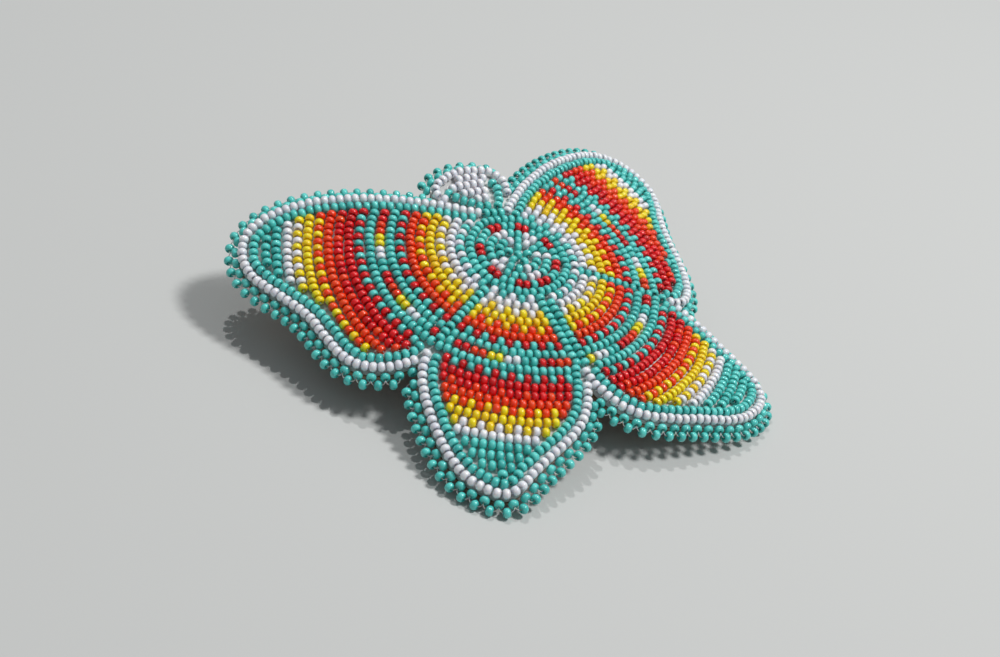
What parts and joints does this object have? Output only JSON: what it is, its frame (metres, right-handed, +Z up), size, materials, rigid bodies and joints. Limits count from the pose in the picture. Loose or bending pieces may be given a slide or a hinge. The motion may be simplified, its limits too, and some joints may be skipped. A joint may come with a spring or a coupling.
{
  "type": "beaded butterfly hair clip",
  "caption": "Flat-stitched glass-bead butterfly on felt and leather, gently arched, with a sprung snap clip sewn to its back for holding hair.",
  "frame": {"origin": "on the table, under the centre of the object's box", "axes": "+X across the wings to the butterfly's right-hand side in the view from above with the head up the page, +Y towards the head, +Z up from the table it stands on"},
  "size_m": [0.1088, 0.0862, 0.0272],
  "materials": {
    "teal_bead": "opaque glossy seed bead",
    "white_bead": "opaque chalk-white seed bead, soft gloss",
    "yellow_bead": "opaque glossy seed bead",
    "orange_bead": "opaque glossy seed bead",
    "red_bead": "opaque glossy seed bead",
    "felt": "stiff white beading felt",
    "card": "thin card between felt and leather",
    "suede": "tan suede, nap side out",
    "clip_steel": "nickel-plated pressed strip",
    "spring_steel": "tempered strip",
    "rivet_steel": "nickel-plated, hammered heads",
    "sewing_thread": "waxed white nylon beading thread"
  },
  "bodies": {
    "panel": {"antennae_beads": "teal_bead", "bow_rivet": "rivet_steel", "bow_spring": "spring_steel", "catch_plate": "clip_steel", "clip_bar": "clip_steel", "clip_stitches": "sewing_thread", "divider_beads": "teal_bead", "felt_ground": "felt", "head_edging": "teal_bead", "head_outline_row": "white_bead", "head_white_beads": "white_bead", "hinge_pin": "rivet_steel", "leather_backing": "suede", "lower_left_edging": "teal_bead", "lower_left_inner_row": "teal_bead", "lower_left_orange_beads": "orange_bead", "lower_left_outline_row": "white_bead", "lower_left_red_beads": "red_bead", "lower_left_teal_beads": "teal_bead", "lower_left_white_beads": "white_bead", "lower_left_yellow_beads": "yellow_bead", "lower_right_edging": "teal_bead", "lower_right_inner_row": "teal_bead", "lower_right_orange_beads": "orange_bead", "lower_right_outline_row": "white_bead", "lower_right_red_beads": "red_bead", "lower_right_teal_beads": "teal_bead", "lower_right_white_beads": "white_bead", "lower_right_yellow_beads": "yellow_bead", "neck_beads": "teal_bead", "rosette_red_beads": "red_bead", "rosette_teal_beads": "teal_bead", "rosette_white_beads": "white_bead", "stiffener": "card", "upper_left_edging": "teal_bead", "upper_left_inner_row": "teal_bead", "upper_left_orange_beads": "orange_bead", "upper_left_outline_row": "white_bead", "upper_left_red_beads": "red_bead", "upper_left_teal_beads": "teal_bead", "upper_left_white_beads": "white_bead", "upper_left_yellow_beads": "yellow_bead", "upper_right_edging": "teal_bead", "upper_right_inner_row": "teal_bead", "upper_right_orange_beads": "orange_bead", "upper_right_outline_row": "white_bead", "upper_right_red_beads": "red_bead", "upper_right_teal_beads": "teal_bead", "upper_right_white_beads": "white_bead", "upper_right_yellow_beads": "yellow_bead"},
    "clasp_arm": {"clasp_arm": "clip_steel"},
    "catch_front": {"catch_leg_front": "clip_steel"},
    "catch_back": {"catch_leg_back": "clip_steel"}
  },
  "joints": [
    {"name": "clasp_hinge", "type": "hinge", "parent": "panel", "child": "clasp_arm", "pos_m": [-0.03556, 0.01743, 0.00394], "axis": [0, 0.9683, 0.2497], "range_deg": [0, 65]},
    {"name": "pinch_front", "type": "hinge", "parent": "panel", "child": "catch_front", "pos_m": [0.03413, 0.0139, 0.01181], "axis": [0.9645, 0.066, -0.2559], "range_deg": [0, 6], "stiffness_Nm_per_rad": 0.002},
    {"name": "pinch_back", "type": "hinge", "parent": "panel", "child": "catch_back", "pos_m": [0.03413, 0.01671, 0.01254], "axis": [0.9645, 0.066, -0.2559], "range_deg": [-6, 0], "stiffness_Nm_per_rad": 0.002}
  ],
  "couplings": [
    {"joint": "pinch_back", "follows": "pinch_front", "ratio": -1}
  ]
}
